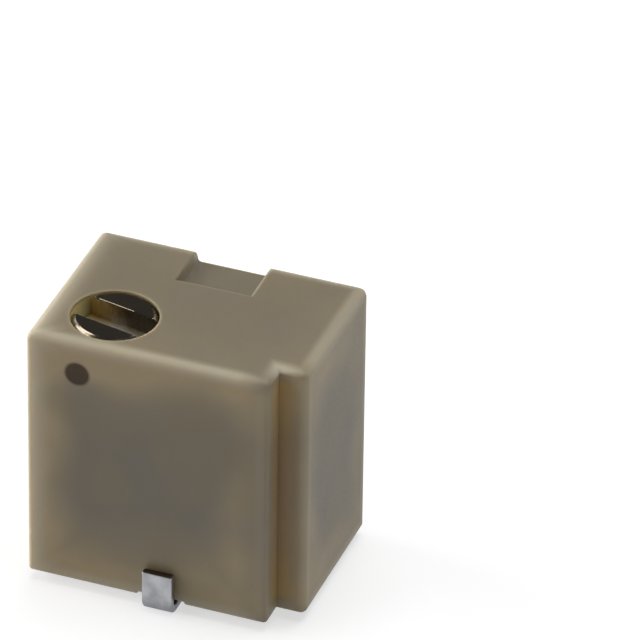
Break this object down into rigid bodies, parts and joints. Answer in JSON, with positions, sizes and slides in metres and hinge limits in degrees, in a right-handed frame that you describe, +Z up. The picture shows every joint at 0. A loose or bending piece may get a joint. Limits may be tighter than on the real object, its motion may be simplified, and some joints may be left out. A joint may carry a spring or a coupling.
{
  "type": "multi-turn trimmer potentiometer",
  "caption": "Surface-mount multi-turn trimmer potentiometer: upright moulded resin body, slotted screw in the top face, tinned hook terminals wrapped round the lower edges.",
  "frame": {"origin": "centre of the part's bounding box in X and Y, on the plane that the terminals' feet stand on", "axes": "+Z up out of the slotted face, -Y is the front with the single terminal, +X runs along the width away from the screw"},
  "size_m": [0.005, 0.0038, 0.0052],
  "materials": {
    "case_resin": "satin",
    "base_resin": "satin",
    "sealing_resin": "gloss",
    "screw_metal": "nickel plated, satin",
    "o_ring_rubber": "matte",
    "retainer_steel": "satin",
    "wheel_plastic": "satin",
    "rotor_plastic": "satin",
    "spring_metal": "polished",
    "alumina": "matte",
    "cermet_film": "satin",
    "electrode_film": "satin",
    "tinned_strip": "matte tin plate",
    "solder": "satin"
  },
  "bodies": {
    "body": {"case": "case_resin", "base": "base_resin", "sealing_bead": "sealing_resin", "screw_retainer": "retainer_steel", "ceramic_substrate": "alumina", "resistive_track": "cermet_film", "end_electrode_left": "electrode_film", "end_electrode_right": "electrode_film", "collector_electrode": "electrode_film", "end_terminal_left": "tinned_strip", "end_terminal_right": "tinned_strip", "wiper_terminal": "tinned_strip", "solder_joint_left": "solder", "solder_joint_right": "solder", "solder_joint_wiper": "solder"},
    "screw": {"adjustment_screw": "screw_metal", "screw_o_ring": "o_ring_rubber"},
    "rotor": {"worm_wheel": "wheel_plastic", "rotor_hub": "rotor_plastic", "contact_spring": "spring_metal"}
  },
  "joints": [
    {"name": "screw_turn", "type": "hinge", "parent": "body", "child": "screw", "pos_m": [-0.00125, -0.00075, 0.0029], "axis": [0, 0, 1], "range_deg": [-1980, 1980]},
    {"name": "rotor_turn", "type": "hinge", "parent": "body", "child": "rotor", "pos_m": [0.00032, -0.00075, 0.00279], "axis": [0, 1, 0], "range_deg": [-132, 132]}
  ],
  "couplings": [
    {"joint": "rotor_turn", "follows": "screw_turn", "ratio": -0.066667}
  ]
}
